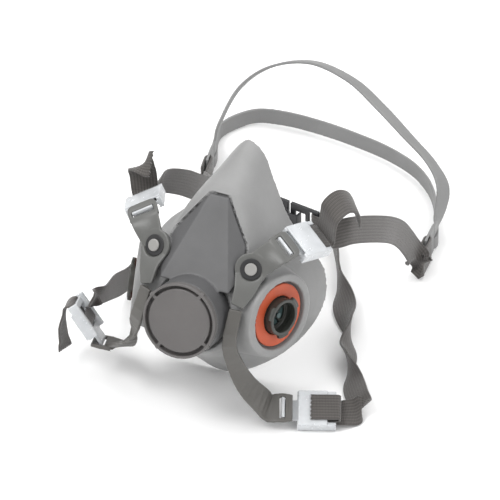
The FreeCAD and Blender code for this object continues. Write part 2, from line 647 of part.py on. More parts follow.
plate_l = END_L + end_dir_l * 1.0
plate_r = END_R + end_dir_r * 1.0
parts["cradle_end_left"] = end_plate(plate_l, end_dir_l)
parts["cradle_end_right"] = end_plate(plate_r, end_dir_r)
gap_l = plate_l - end_dir_l * 1.5
gap_r = plate_r - end_dir_r * 1.5
CROWN_W = 10.5
crown_pts = [gap_l + UP * 4.6, gap_l - end_dir_l * 7 + UP * 5.2, crown_point(-78.5, 17),
             crown_point(-75.5, 40), crown_point(-62, 58), crown_point(-38, 68.5),
             crown_point(-10, 66.5), crown_point(14, 57.5), crown_point(37, 47),
             crown_point(58, 37), crown_point(71.5, 25), gap_r - end_dir_r * 7 + UP * 5.2,
             gap_r + UP * 4.6]
crown_mid = centre + crown_up * 25
crown_across = []
for k, p in enumerate(crown_pts):
    out = p - crown_mid
    out = unit(out - crown_n * out.dot(crown_n))
    w = crown_n * math.cos(math.radians(22.0)) - out * math.sin(math.radians(22.0))
    crown_across.append(UP if k in (0, 1, 11, 12) else w)
crown_w = [7.6, 8.4] + [CROWN_W] * 9 + [8.4, 7.6]
parts["crown_band"] = band(crown_pts, crown_across, crown_w, BAND_T, 110)
low = UP * -4.6
back_pts = [gap_l + low, gap_l - end_dir_l * 8 + low, V(-95.5, 241, END_L.z - 3.4), V(-84, 262, END_L.z - 3.0),
            V(-66, 267, END_L.z - 2.6), V(-42, 266.5, END_L.z - 2.4), V(-18, 263, END_L.z - 2.4),
            V(6, 257, END_L.z - 2.4), V(28, 246, END_L.z - 2.6), V(46, 227, END_L.z - 3.0),
            gap_r - end_dir_r * 9 + low, gap_r + low]
parts["back_band"] = band(back_pts, [UP] * 12, [7.6, 8.4] + [10.0] * 8 + [8.4, 7.6], BAND_T, 96)


class End:
    """Frame at a cradle plate's free bar, looking back along the strap."""

    def __init__(self, o, d):
        self.o, self.x, self.y = o, d, UP
        self.z = self.x.cross(self.y)

    def loop(self):
        turn = u_profile(24.0, 21.0, 9.4 + 0.9, 0.0, TURN_R, STRAP_W, 1)
        return placed(turn, frame_matrix(self.o, self.x, self.y * -1, self.z * -1))

    def point(self, x, z):
        return self.o + self.x * x + self.z * z


end_r, end_l = End(plate_r, end_dir_r), End(plate_l, end_dir_l)


def upper_strap(b, end, pts, across, count):
    start = b.point(LOOP_X + GAP, 0, TURN_Z - TURN_R)
    path = [start, b.point(LOOP_X + 5.0, 0, TURN_Z - TURN_R - 0.3)] + pts
    path += [end.point(28.0, -TURN_R), end.point(24.3, -TURN_R)]
    acr = [b.y * -1, b.y * -1] + across + [UP, UP]
    acr = [a if a.z > -0.01 else a * -1 for a in acr]
    return band(path, acr, [STRAP_W] * len(path), STRAP_T, count)


strap_ur = upper_strap(bur, end_r, [V(62.5, 66, -6.5), V(67.0, 100, -26), V(65.0, 128, -47),
                                    V(63.8, 146, -66), V(64.6, 156, -81)],
                       [unit(V(-0.3, 0.25, 0.9)), unit(V(-0.15, 0.4, 0.9)), unit(V(0, 0.6, 0.8)),
                        unit(V(0, 0.5, 0.85)), UP], 48)
strap_ul = upper_strap(bul, end_l, [V(-54.5, 66, -5.5), V(-53.5, 92, -22), V(-55.5, 120, -44),
                                    V(-63.5, 150, -66), V(-74.5, 172, -80)],
                       [unit(V(0.3, 0.25, 0.9)), unit(V(0.15, 0.4, 0.9)), unit(V(0, 0.6, 0.8)),
                        unit(V(0, 0.5, 0.85)), UP], 48)
parts["strap_upper_right"] = strap_ur
parts["strap_upper_left"] = strap_ul
parts["strap_loop_right"] = end_r.loop()
parts["strap_loop_left"] = end_l.loop()

# neck strap clasp behind the mask
CLASP = V(-18.0, 171.0, TABLE + 10.0)
clasp_x = unit(V(0.985, -0.174, 0.0))
clasp_y = UP.cross(clasp_x)


def clasp_box(x0, x1, y0, y1, z0, z1):
    return frame_box(CLASP, clasp_x, clasp_y, UP, x0, x1, y0, y1, z0, z1)


hook = clasp_box(-17.0, -3.6, -1.1, 1.1, -9.8, 9.8)
hook = hook.cut(clasp_box(-14.6, -10.6, -3, 3, -8.2, 8.2))
hook = hook.fuse(clasp_box(-4.0, 4.6, -4.4, -2.8, -4.5, 4.5)).fuse(clasp_box(-5.4, -3.6, -4.4, 1.2, -4.5, 4.5))
hook = hook.fuse(clasp_box(3.2, 4.6, -4.4, 0.8, -4.5, 4.5))
parts["clasp_hook"] = hook.removeSplitter()
eye = clasp_box(-2.0, 17.0, -1.1, 1.1, -9.8, 9.8).cut(clasp_box(1.0, 8.2, -3, 3, -5.6, 5.6))
eye = eye.cut(clasp_box(10.6, 14.6, -3, 3, -8.2, 8.2))
parts["clasp_eye"] = eye.removeSplitter()
for tag, sx in (("left", -1), ("right", 1)):
    turn = u_profile(24.0, 24.0, 14.7, 0.0, TURN_R, STRAP_W, 1)
    outward = clasp_x * sx
    parts["clasp_loop_" + tag] = placed(turn, frame_matrix(CLASP, outward, UP, outward.cross(UP)))


def clasp_point(x, y):
    return CLASP + clasp_x * x + clasp_y * y


LEFT_IN = 19.0                 # where the left neck strap leaves its buckle
neck_l = [bll.point(LEFT_IN + GAP, 0, TURN_Z - TURN_R - 1.9),
          bll.point(LEFT_IN + 1.2, 2.2, TURN_Z - TURN_R - 5.6),
          bll.point(20.0, 7.5, -13.0), V(-73.5, 26, -63.5), V(-78.2, 50, -75.0), V(-80.5, 76, -86.5),
          V(-78.5, 106, EDGE_Z), V(-66, 136, EDGE_Z), V(-50, 158, EDGE_Z), clasp_point(-27.5, TURN_R + 0.2),
          clasp_point(-24.4, TURN_R)]
neck_l_across = [bll.y * -1, bll.x * 0.25 - bll.y * 0.95, bll.x * 0.55 - bll.y * 0.8,
                 unit(V(0.25, 0.1, 0.96)), unit(V(0.05, 0.3, 0.95)), UP, UP, UP, UP, UP, UP]
neck_l_w = [STRAP_W, 12.5, 10.0, 12.5] + [STRAP_W] * 7    # it bunches where it bends sideways
parts["neck_strap_left"] = band(neck_l, neck_l_across, neck_l_w, STRAP_T, 60)

neck_r = [clasp_point(24.8, TURN_R), clasp_point(27.5, TURN_R - 0.3), V(19, 148, EDGE_Z), V(29.5, 126, EDGE_Z),
          V(41.5, 106, -90.0), V(54, 84, EDGE_Z), V(60.5, 67, -90.5), V(66.5, 53, EDGE_Z),
          V(75.5, 38.5, -90.0), V(84.0, 26, -89.6), V(89.5, 17.5, -90.6),
          blr.point(LOOP_X + 4.2, 0, TURN_Z - TURN_R - 0.1), blr.point(LOOP_X + GAP, 0, TURN_Z - TURN_R)]
neck_r_across = [UP, UP, UP, unit(V(0.05, 0.1, 1.0)), unit(V(0.75, 0.40, 0.62)), unit(V(0.1, 0.0, 1.0)),
                 unit(V(-0.55, -0.3, 0.8)), unit(V(-0.1, 0.0, 1.0)), unit(V(0.6, 0.35, 0.75)),
                 unit(V(0.5, 0.55, 0.75)), unit(V(0.2, 0.75, 0.7)), blr.y, blr.y]
parts["neck_strap_right"] = band(neck_r, neck_r_across, [STRAP_W] * 13, STRAP_T, 84)

parts["tail_upper_right"] = tail(bur, [V(58.0, 45.5, 16.5), V(61.5, 53, 20.5), V(65.0, 60, 17.0), V(66.0, 64, 9.5),
                                       V(65.0, 66.5, 3.6)],
                                 [unit(V(-0.75, 0.5, 0.45)), unit(V(-0.7, 0.5, 0.5)), unit(V(-0.7, 0.6, 0.4)),
                                  unit(V(-0.6, 0.7, 0.3)), unit(V(-0.6, 0.7, 0.3))], 22)
parts["tail_upper_left"] = tail(bul, [V(-57.5, 48, 10.0), V(-58.0, 46.8, 15.0), V(-55.8, 45.4, 18.8),
                                      V(-51.6, 45, 20.4)],
                                [unit(V(-0.8, -0.45, -0.2)), unit(V(-0.8, -0.5, -0.2)), unit(V(-0.5, -0.6, -0.5)),
                                 unit(V(-0.3, -0.6, -0.7))], 18)
parts["tail_lower_left"] = tail(bll, [V(-84.7, 3.6, -58.9), V(-86.4, 3.0, -63.5), V(-87.5, 2.0, -71.0),
                                      V(-86.0, 0.4, -80.0), V(-84.5, -1.0, -85.0)],
                                [bll.y, unit(V(-0.25, 0.94, -0.1)), unit(V(-0.2, 0.95, 0.0)),
                                 unit(V(-0.2, 0.95, 0.15)), unit(V(-0.1, 0.95, 0.2))], 18, LEFT_IN - 3.0, 23.4)
turn = u_profile(LOOP_X, LOOP_X, TURN_X, TURN_Z, TURN_R, STRAP_W, 1)
FOLD_R = 1.6
fold = u_profile(13.0, LOOP_X - 0.5, LOOP_X, TURN_Z + TURN_R + FOLD_R, FOLD_R, STRAP_W, -1)
parts["tail_lower_right"] = blr.place(turn.fuse(fold).removeSplitter())

os.makedirs("parts", exist_ok=True)
for name, shape in parts.items():
    shape.translate(SHIFT)
    shape.exportStep("parts/" + name + ".step")
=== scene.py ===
import json
import math

import bpy
from mathutils import Matrix, Vector
from mathutils.bvhtree import BVHTree


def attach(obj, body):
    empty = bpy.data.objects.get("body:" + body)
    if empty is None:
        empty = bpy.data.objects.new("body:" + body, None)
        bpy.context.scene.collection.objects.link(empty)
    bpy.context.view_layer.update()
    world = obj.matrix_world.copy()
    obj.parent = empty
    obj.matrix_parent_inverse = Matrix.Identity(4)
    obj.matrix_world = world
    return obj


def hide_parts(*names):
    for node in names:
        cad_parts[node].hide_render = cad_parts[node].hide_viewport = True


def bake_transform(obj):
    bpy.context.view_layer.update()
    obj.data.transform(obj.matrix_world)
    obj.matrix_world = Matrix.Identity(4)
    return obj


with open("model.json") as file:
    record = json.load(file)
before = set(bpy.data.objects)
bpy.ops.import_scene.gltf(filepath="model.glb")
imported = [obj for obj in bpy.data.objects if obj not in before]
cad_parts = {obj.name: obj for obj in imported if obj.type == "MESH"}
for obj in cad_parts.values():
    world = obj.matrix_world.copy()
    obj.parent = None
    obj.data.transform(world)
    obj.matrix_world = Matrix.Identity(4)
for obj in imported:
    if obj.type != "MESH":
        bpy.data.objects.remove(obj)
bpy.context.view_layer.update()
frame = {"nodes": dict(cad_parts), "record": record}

V = Vector
MM = 0.001
SHIFT = V((0.87, -114.83, 96.5))         # datum between the studs, in the part's frame, mm
NODE_BODY = {n: b for b, ns in frame["record"]["behaviour"]["bodies"].items() for n in ns}
NODE_SLOT = {p["node"]: p["material_slot"] for p in frame["record"]["subparts"]}
scene = bpy.context.scene


# ---------------------------------------------------------------- materials
WAVE_TURN = math.pi / 10.0               # wave texture scale that gives one band per unit
CORD_PITCH = 1.72                        # elastic cords across a strap, mm
WEFT_PITCH = 0.85                        # weft threads along a strap, mm


class Shader:
    """A Principled material with small helpers for its node tree."""

    def __init__(self, name, roughness=0.5, **sockets):
        self.material = bpy.data.materials.new(name)
        self.material.use_nodes = True
        self.tree = self.material.node_tree
        self.bsdf = self.tree.nodes["Principled BSDF"]
        self.bsdf.inputs["Roughness"].default_value = roughness
        for key, value in sockets.items():
            self.bsdf.inputs[key.replace("_", " ")].default_value = value
        self.coords = self.tree.nodes.new("ShaderNodeTexCoord")

    def link(self, a, b):
        self.tree.links.new(a, b)

    def node(self, kind, **values):
        made = self.tree.nodes.new(kind)
        for key, value in values.items():
            if hasattr(made, key):
                setattr(made, key, value)
            else:
                made.inputs[key.replace("_", " ")].default_value = value
        return made

    def noise(self, scale, detail=4.0, rough=0.55, source=None, stretch=None):
        made = self.node("ShaderNodeTexNoise", Scale=scale, Detail=detail, Roughness=rough)
        start = source or self.coords.outputs["Object"]
        if stretch:
            mapping = self.node("ShaderNodeMapping")
            mapping.inputs["Scale"].default_value = stretch
            self.link(start, mapping.inputs["Vector"])
            start = mapping.outputs["Vector"]
        self.link(start, made.inputs["Vector"])
        return made.outputs["Fac"]

    def wave(self, scale, direction, source):
        made = self.node("ShaderNodeTexWave", wave_type="BANDS", bands_direction=direction,
                         wave_profile="SIN", Scale=scale)
        self.link(source, made.inputs["Vector"])
        return made.outputs["Fac"]

    def ramp(self, fac, stops):
        made = self.node("ShaderNodeValToRGB")
        band = made.color_ramp
        while len(band.elements) < len(stops):
            band.elements.new(0.5)
        for element, (place, colour) in zip(band.elements, stops):
            element.position = place
            element.color = (*colour, 1.0)
        self.link(fac, made.inputs["Fac"])
        return made.outputs["Color"]

    def mix(self, a, b, fac, mode="MIX"):
        made = self.node("ShaderNodeMix", data_type="RGBA", blend_type=mode)
        for value, socket in ((a, made.inputs["A"]), (b, made.inputs["B"])):
            for s in made.inputs:
                if s.name == socket.name and s.type == "RGBA":
                    socket = s
            if isinstance(value, tuple):
                socket.default_value = (*value, 1.0)
            else:
                self.link(value, socket)
        if isinstance(fac, float):
            made.inputs["Factor"].default_value = fac
        else:
            self.link(fac, made.inputs["Factor"])
        return [s for s in made.outputs if s.type == "RGBA"][0]

    def span(self, fac, low, high):
        made = self.node("ShaderNodeMapRange")
        made.inputs["To Min"].default_value = low
        made.inputs["To Max"].default_value = high
        self.link(fac, made.inputs["Value"])
        return made.outputs["Result"]

    def multiply(self, a, b):
        made = self.node("ShaderNodeMath", operation="MULTIPLY")
        self.link(a, made.inputs[0])
        self.link(b, made.inputs[1])
        return made.outputs["Value"]

    def bump(self, height, distance, strength=1.0, under=None):
        made = self.node("ShaderNodeBump", Strength=strength, Distance=distance)
        self.link(height, made.inputs["Height"])
        if under:
            self.link(under, made.inputs["Normal"])
        return made.outputs["Normal"]

    def edges(self):
        """Bright along convex edges, dark in corners."""
        geometry = self.node("ShaderNodeNewGeometry")
        return geometry.outputs["Pointiness"]

    def finish(self, colour=None, roughness=None, normal=None):
        if colour:
            self.link(colour, self.bsdf.inputs["Base Color"])
        if roughness:
            self.link(roughness, self.bsdf.inputs["Roughness"])
        if normal:
            self.link(normal, self.bsdf.inputs["Normal"])
        return self.material


def tone(colour, by):
    return tuple(min(1.0, c * by) for c in colour)


def moulded(name, colour, roughness, spread=0.12, grain=2200.0, grain_mm=0.03, rough_spread=0.08, wear=0.0,
            **sockets):
    """Moulded plastic or rubber: cloudy tone, fine grain, uneven gloss, worn edges, painted shade in
    corners.
    """
    s = Shader(name, roughness, **sockets)
    cloud = s.noise(38.0, 5.0, 0.6)
    fine = s.noise(grain, 3.0, 0.6)
    base = s.ramp(cloud, [(0.3, tone(colour, 1 - spread)), (0.7, tone(colour, 1 + spread))])
    speck = s.ramp(fine, [(0.35, (0.93, 0.93, 0.93)), (0.62, (1.0, 1.0, 1.0))])
    base = s.mix(base, speck, 0.75, "MULTIPLY")
    # painted shade: concave corners and creases (low pointiness) are darkened to 0.3 where shadow would
    # fall
    painted_crease_shade = s.ramp(s.edges(), [(0.42, (0.30, 0.30, 0.30)), (0.485, (1.0, 1.0, 1.0))])
    base = s.mix(base, painted_crease_shade, 0.9, "MULTIPLY")
    if wear:
        rub = s.ramp(s.edges(), [(0.50, (0.0, 0.0, 0.0)), (0.58, (1.0, 1.0, 1.0))])
        patch = s.span(s.noise(260.0, 3.0, 0.6), 0.0, 2.0 * wear)
        base = s.mix(base, tone(colour, 1.7), s.multiply(rub, patch))
    smear = s.noise(120.0, 4.0, 0.65, stretch=(1.0, 1.0, 0.35))
    rough = s.span(smear, roughness - rough_spread, roughness + rough_spread)
    normal = s.bump(fine, grain_mm * MM)
    normal = s.bump(s.noise(90.0, 3.0), 0.25 * MM, 0.35, normal)
    return s.finish(base, rough, normal)


def woven(name, colour):
    """Ribbed elastic: u runs along the strap and v across it, both in millimetres."""
    s = Shader(name, 0.86, Sheen_Weight=0.35, Sheen_Roughness=0.45)
    uv = s.coords.outputs["UV"]
    rib = s.wave(WAVE_TURN / CORD_PITCH, "Y", uv)
    warp = s.wave(WAVE_TURN / WEFT_PITCH, "X", uv)
    fuzz = s.noise(3.0, 4.0, 0.7, uv)
    thread = s.mix(s.ramp(rib, [(0.15, tone(colour, 0.5)), (0.8, tone(colour, 1.3))]),
                   s.ramp(warp, [(0.1, tone(colour, 0.62)), (0.8, tone(colour, 1.25))]), 0.45)
    lint = s.ramp(fuzz, [(0.3, (0.72, 0.72, 0.72)), (0.7, (1.0, 1.0, 1.0))])
    thread = s.mix(thread, lint, 0.8, "MULTIPLY")
    faded = s.ramp(s.noise(0.06, 3.0, 0.6, uv), [(0.35, tone(colour, 0.85)), (0.7, tone(colour, 1.2))])
    thread = s.mix(thread, faded, 0.25)
    normal = s.bump(warp, 0.12 * MM)
    normal = s.bump(rib, 0.16 * MM, 1.0, normal)
    normal = s.bump(fuzz, 0.08 * MM, 0.8, normal)
    return s.finish(thread, s.span(fuzz, 0.78, 0.95), normal)


def clear_plastic(name):
    s = Shader(name, 0.22, IOR=1.49, Transmission_Weight=0.30)
    haze = s.noise(70.0, 4.0, 0.6)
    scuff = s.noise(900.0, 3.0, 0.6, stretch=(1.0, 0.2, 1.0))
    base = s.ramp(haze, [(0.3, (0.62, 0.64, 0.66)), (0.7, (0.80, 0.82, 0.84))])
    rough = s.span(scuff, 0.14, 0.34)
    return s.finish(base, rough, s.bump(scuff, 0.02 * MM, 0.6, s.bump(haze, 0.2 * MM, 0.4)))


MATERIALS = {
    "rubber_grey": moulded("rubber_grey", (0.235, 0.235, 0.234), 0.52, 0.07, 2600.0, 0.03, wear=0.10,
                           Sheen_Weight=0.08, Coat_Weight=0.08, Coat_Roughness=0.4),
    "shield_grey": moulded("shield_grey", (0.080, 0.080, 0.082), 0.46, 0.10, 1900.0, 0.045, wear=0.22),
    "cover_grey": moulded("cover_grey", (0.104, 0.098, 0.096), 0.44, 0.10, 2100.0, 0.035, wear=0.25),
    "yoke_grey": moulded("yoke_grey", (0.100, 0.101, 0.096), 0.40, 0.10, 2000.0, 0.03, wear=0.25),
    "arm_grey": moulded("arm_grey", (0.091, 0.087, 0.080), 0.42, 0.10, 2000.0, 0.03, wear=0.25),
    # painted shade: near-black stands for the shadowed cavity behind the cover's slots, darker than the
    # real dark grey seat
    "seat_painted_shade": moulded("seat_painted_shade", (0.022, 0.022, 0.023), 0.5, 0.12, 2000.0, 0.03),
    "port_green": moulded("port_green", (0.034, 0.036, 0.031), 0.38, 0.14, 1800.0, 0.03, wear=0.3),
    "gasket_orange": moulded("gasket_orange", (0.45, 0.066, 0.016), 0.5, 0.14, 2300.0, 0.03,
                             Sheen_Weight=0.1),
    "flap_rubber": moulded("flap_rubber", (0.05, 0.085, 0.085), 0.42, 0.12, 2500.0, 0.02),
    "cradle_grey": moulded("cradle_grey", (0.205, 0.205, 0.204), 0.48, 0.07, 2100.0, 0.03, wear=0.12),
    "stud_grey": moulded("stud_grey", (0.27, 0.265, 0.255), 0.3, 0.08, 1700.0, 0.02, wear=0.15),
    # painted shade: the near-black stud rings stand for the shadowed gap between each stud and the yoke's
    # hole
    "ring_black": moulded("ring_black", (0.02, 0.02, 0.021), 0.4, 0.2, 2200.0, 0.02),
    "clasp_black": moulded("clasp_black", (0.022, 0.022, 0.024), 0.36, 0.2, 2200.0, 0.02, wear=0.3),
    "elastic": woven("elastic", (0.085, 0.078, 0.073)),
    "buckle_clear": clear_plastic("buckle_clear"),
}


# nodes whose look differs a little from their slot's; the valve seat and the exhalation flap behind the
# cover's slots are painted near-black as painted shade of that cavity
LOOKS = {"lower_arm_right": "arm_grey", "lower_arm_left": "arm_grey",
         "valve_seat": "seat_painted_shade", "exhalation_flap": "seat_painted_shade"}


def paint(obj, slot, look=None):
    obj.data.materials.clear()
    obj.data.materials.append(MATERIALS[look or slot])


# ---------------------------------------------------------------- moulded pieces
COARSE = 1.0


def cast(node, voxel, rounds, shape=None):
    """A node's surface, remeshed at voxel mm, with its edges softened as moulding leaves them."""
    copy = bpy.data.objects.new(node + "_form", frame["nodes"][node].data.copy())
    scene.collection.objects.link(copy)
    grid = copy.modifiers.new("grid", "REMESH")
    grid.mode = "VOXEL"
    grid.voxel_size = voxel * COARSE * MM
    grid.use_smooth_shade = True
    relax = copy.modifiers.new("relax", "SMOOTH")
    relax.factor = 0.5
    relax.iterations = rounds
    depsgraph = bpy.context.evaluated_depsgraph_get()
    mesh = bpy.data.meshes.new_from_object(copy.evaluated_get(depsgraph))
    copy.modifiers.clear()
    copy.data = mesh
    if shape:
        for vertex in mesh.vertices:
            vertex.co = shape(vertex.co)
    for face in mesh.polygons:
        face.use_smooth = True
    paint(copy, NODE_SLOT[node], LOOKS.get(node))
    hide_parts(node)
    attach(copy, NODE_BODY[node])
    return copy


SEAM_REACH = 2.0 * MM                    # rubber this near the shield draws back from it
SEAM_DEPTH = 1.1 * MM                    # by up to this much
shield_mesh = frame["nodes"]["front_shield"].data
shield_tree = BVHTree.FromPolygons([v.co for v in shield_mesh.vertices],
                                   [p.vertices for p in shield_mesh.polygons])


def drawn_back(place):
    """Opens the shadow line between the rubber and the shield."""
    near, _, _, gap = shield_tree.find_nearest(place, SEAM_REACH)
    if near is None:
        return place
    return place + (place - near).normalized() * (1.0 - gap / SEAM_REACH) * SEAM_DEPTH


# voxel size in mm and rounds of smoothing for each node
PLAN = {"front_shield": (0.5, 4), "exhalation_cover": (0.32, 2), "valve_seat": (0.45, 3),
        "exhalation_flap": (0.3, 2), "crown_band": (0.45, 4), "back_band": (0.45, 4)}
for side in ("right", "left"):
    PLAN["inlet_port_" + side] = (0.35, 3)
    PLAN["inhalation_gasket_" + side] = (0.35, 4)
    PLAN["inhalation_flap_" + side] = (0.3, 2)
    PLAN["yoke_" + side] = (0.42, 4)
    PLAN["lower_arm_" + side] = (0.42, 4)
    PLAN["stud_" + side] = (0.25, 3)
    PLAN["stud_ring_" + side] = (0.22, 2)
    PLAN["cradle_end_" + side] = (0.4, 3)
    for level in ("upper", "lower"):
        PLAN["buckle_" + level + "_" + side] = (0.33, 3)
for node in ("clasp_hook", "clasp_eye"):
    PLAN[node] = (0.3, 3)
for node, (voxel, rounds) in PLAN.items():
    cast(node, voxel, rounds)
cast("facepiece", 0.8, 6, drawn_back)

# ---------------------------------------------------------------- elastic straps
STRAP_W, STRAP_T = 15.5, 1.3             # elastic, mm
RIB_DEPTH = 0.16                         # of the grooves between its cords
RIB_POINTS = 54                          # points across one ribbed face
STEP = 0.9                               # mm between a strap's rings
CURVE_POINTS = 60                        # samples between two control points when measuring
LOOK_AHEAD = 0.004                       # share of a curve used to find its direction
FRAY_PITCH = 2.6                         # mm between the teeth of a cut end
TABLE_Z = -96.5                          # table top, below the studs
UP = V((0, 0, 1))


def catmull(points, t):
    last = len(points) - 2
    x = t * (last + 1)
    i = min(int(x), last)
    f = x - i
    p1, p2 = points[i], points[i + 1]
    p0 = points[i - 1] if i else p1 * 2 - p2
    p3 = points[i + 2] if i + 2 <= last + 1 else p2 * 2 - p1
    return (p1 * 2 + (p2 - p0) * f + (p0 * 2 - p1 * 5 + p2 * 4 - p3) * f * f
            + (p1 * 3 - p0 - p2 * 3 + p3) * f * f * f) * 0.5


def profile(width, thick, ribs):
    """Points (v, n) round a flat band whose faces carry lengthwise cords."""
    half, h = width / 2, thick / 2
    flat = [half * (-0.955 + 1.91 * k / RIB_POINTS) for k in range(RIB_POINTS + 1)]
    top = [(v, h - ribs * (1 + math.cos(2 * math.pi * v / CORD_PITCH)) / 2) for v in flat]
    low = [(v, -n) for v, n in reversed(top)]
    right = [(half * 0.985, h * 0.6), (half, 0.0), (half * 0.985, -h * 0.6)]
    left = [(-v, -n) for v, n in right]
    return top + right + low + left


def strap(name, points, across, body=None, fray=0.0, replaces=(), pinch=None):
    """Elastic through points (datum frame, mm); across is its width direction there.

    fray is the depth of the teeth on its far end, and pinch gives the share of the full
    width at each point, as x of a vector.
    """
    fine = CURVE_POINTS * (len(points) - 1)
    line = [catmull(points, k / fine) for k in range(fine + 1)]
    reach = [0.0]
    for a, b in zip(line[:-1], line[1:]):
        reach.append(reach[-1] + (b - a).length)
    step = STEP * 1
    count = max(8, round(reach[-1] / step))
    section = profile(STRAP_W, STRAP_T, RIB_DEPTH)
    verts, faces, uv = [], [], []
    j = 0
    for k in range(count + 1):
        s = reach[-1] * k / count
        while j < len(reach) - 2 and reach[j + 1] < s:
            j += 1
        t = (j + (s - reach[j]) / max(1e-9, reach[j + 1] - reach[j])) / fine
        before, after = max(t - LOOK_AHEAD, 0.0), min(t + LOOK_AHEAD, 1.0)
        d = (catmull(points, after) - catmull(points, before)).normalized()
        w = catmull(across, t)
        w = (w - d * w.dot(d)).normalized()
        n = d.cross(w)
        c = catmull(points, t)
        c.z = max(c.z, TABLE_Z + 0.15 + abs(w.z) * STRAP_W / 2 + abs(n.z) * STRAP_T / 2)
        share = catmull(pinch, t).x if pinch else 1.0
        for v, h in section:
            tooth = fray * abs((v / FRAY_PITCH) % 1.0 - 0.5) * 2 if k == count else 0.0
            p = c + w * (v * share) + n * h + d * tooth
            verts.append((p + SHIFT) * MM)
            uv.append((s, v + (h * 2 if abs(v) > STRAP_W * 0.49 else 0.0)))
    m = len(section)
    for k in range(count):
        for i in range(m):
            faces.append((k * m + i, k * m + (i + 1) % m, (k + 1) * m + (i + 1) % m, (k + 1) * m + i))
    faces.append(tuple(reversed(range(m))))
    faces.append(tuple(range(count * m, count * m + m)))
    mesh = bpy.data.meshes.new(name)
    mesh.from_pydata(verts, [], faces)
    layer = mesh.uv_layers.new(name="strap")
    for loop in mesh.loops:
        layer.data[loop.index].uv = uv[loop.vertex_index]
    for face in mesh.polygons:
        face.use_smooth = len(face.vertices) == 4
    mesh.validate()
    obj = bpy.data.objects.new(name, mesh)
    scene.collection.objects.link(obj)
    paint(obj, "elastic")
    if replaces:
        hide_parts(*replaces)
    if body:
        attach(obj, body)
    return obj


class Spot:
    """A place on the harness: an origin and three axes, in the datum frame."""

    def __init__(self, o, x, y, z):
        self.o, self.x, self.y, self.z = V(o), V(x).normalized(), V(y).normalized(), V(z).normalized()

    def at(self, x, z, y=0.0):
        return self.o + self.x * x + self.y * y + self.z * z


def arc(centre, radius, start, end, steps):
    return [(centre[0] + radius * math.cos(math.radians(start + (end - start) * k / steps)),
             centre[1] + radius * math.sin(math.radians(start + (end - start) * k / steps)))
            for k in range(steps + 1)]


def unit(*c):
    return V(c).normalized()


# the four buckles: hinge, then outward along the buckle, across it and up from it
B_UR = Spot((45.245, 18.87, 10.093), (0.3595, 0.9012, -0.2419),
            (-0.8052, 0.4306, 0.4076), (0.4715, 0.0482, 0.8805))
B_UL = Spot((-45.245, 18.87, 10.093), (-0.3595, 0.9012, -0.2419),
            (-0.8052, -0.4306, -0.4076), (-0.4715, 0.0482, 0.8805))
B_LR = Spot((54.5, -3.5, -85.3), (0.9230, 0.3848, -0.0009),
            (-0.3395, 0.8153, 0.4690), (0.1812, -0.4326, 0.8832))
B_LL = Spot((-66.4, 2.1, -77.6), (-0.6275, 0.0403, 0.7776),
            (-0.2513, 0.9348, -0.2512), (-0.7369, -0.3530, -0.5765))
LOOP_X = 27.0                            # where a strap leaves its buckle
TURN_X, TURN_Z, TURN_R = 12.0, -3.4, 1.85    # the strap's turn round the ladder bar
LOW, HIGH = TURN_Z - TURN_R, TURN_Z + TURN_R
FRAY = 0.9                               # depth of the teeth on a free end, mm


def under_and_round(b, x_in=LOOP_X, x_out=LOOP_X):
    """In under the bars, round the ladder bar and back out over it."""
    track = [(x_in - 0.1, LOW), (x_in - 2.0, LOW), (TURN_X + 2.5, LOW)]
    track += arc((TURN_X, TURN_Z), TURN_R, 270, 90, 8)
    track += [(TURN_X + 4.0, HIGH), (x_out - 1.0, HIGH)]
    return [b.at(x, z) for x, z in track]


def free_tail(name, b, points, across, body, node, x_in=LOOP_X, x_out=LOOP_X):
    path = under_and_round(b, x_in, x_out) + [b.at(x_out + 2.5, HIGH + 0.4)] + points
    ways = [b.y] * (len(path) - len(points)) + across
    return strap(name, path, ways, body, fray=FRAY, replaces=(node,))


free_tail("tail_upper_right_webbing", B_UR,
          [V((58.0, 45.5, 16.5)), V((61.5, 53, 20.5)), V((65.0, 60, 17.0)), V((66.0, 64, 9.5)),
           V((65.0, 66.5, 3.6))],
          [unit(-0.75, 0.5, 0.45), unit(-0.7, 0.5, 0.5), unit(-0.7, 0.6, 0.4), unit(-0.6, 0.7, 0.3),
           unit(-0.6, 0.7, 0.3)], "buckle_ur", "tail_upper_right")
free_tail("tail_upper_left_webbing", B_UL,
          [V((-57.5, 48, 10.0)), V((-58.0, 46.8, 15.0)), V((-55.8, 45.4, 18.8)), V((-51.6, 45, 20.4))],
          [unit(-0.8, -0.45, -0.2), unit(-0.8, -0.5, -0.2), unit(-0.5, -0.6, -0.5), unit(-0.3, -0.6, -0.7)],
          "buckle_ul", "tail_upper_left")
LEFT_IN = 19.0                           # where the left neck strap leaves its buckle
free_tail("tail_lower_left_webbing", B_LL,
          [V((-84.7, 3.6, -58.9)), V((-86.4, 3.0, -63.5)), V((-87.5, 2.0, -71.0)), V((-86.0, 0.4, -80.0)),
           V((-84.5, -1.0, -85.0))],
          [B_LL.y, unit(-0.25, 0.94, -0.1), unit(-0.2, 0.95, 0.0), unit(-0.2, 0.95, 0.15),
           unit(-0.1, 0.95, 0.2)],
          "buckle_ll", "tail_lower_left", LEFT_IN - 1.0, 23.4)
FOLD_R = 1.6                             # the lower right tail folds back flat
track = [B_LR.at(x, z) for x, z in arc((LOOP_X, HIGH + FOLD_R), FOLD_R, -90, 90, 6)]
track += [B_LR.at(x, HIGH + 2 * FOLD_R) for x in (22.0, 17.0, 13.0)]
path = under_and_round(B_LR) + track
strap("tail_lower_right_webbing", path, [B_LR.y] * len(path), "buckle_lr", fray=1.1,
      replaces=("tail_lower_right",))

# head cradle ends, looking back along each strap
END_R = Spot(V((63.0, 185.0, -87.5)) + unit(0.12, -1.0, 0.0),
             (0.12, -1.0, 0.0), (0, 0, 1), (-1.0, -0.12, 0.0))
END_L = Spot(V((-86.6, 209.6, -87.5)) + unit(0.20, -1.0, 0.0),
             (0.20, -1.0, 0.0), (0, 0, 1), (-1.0, -0.20, 0.0))


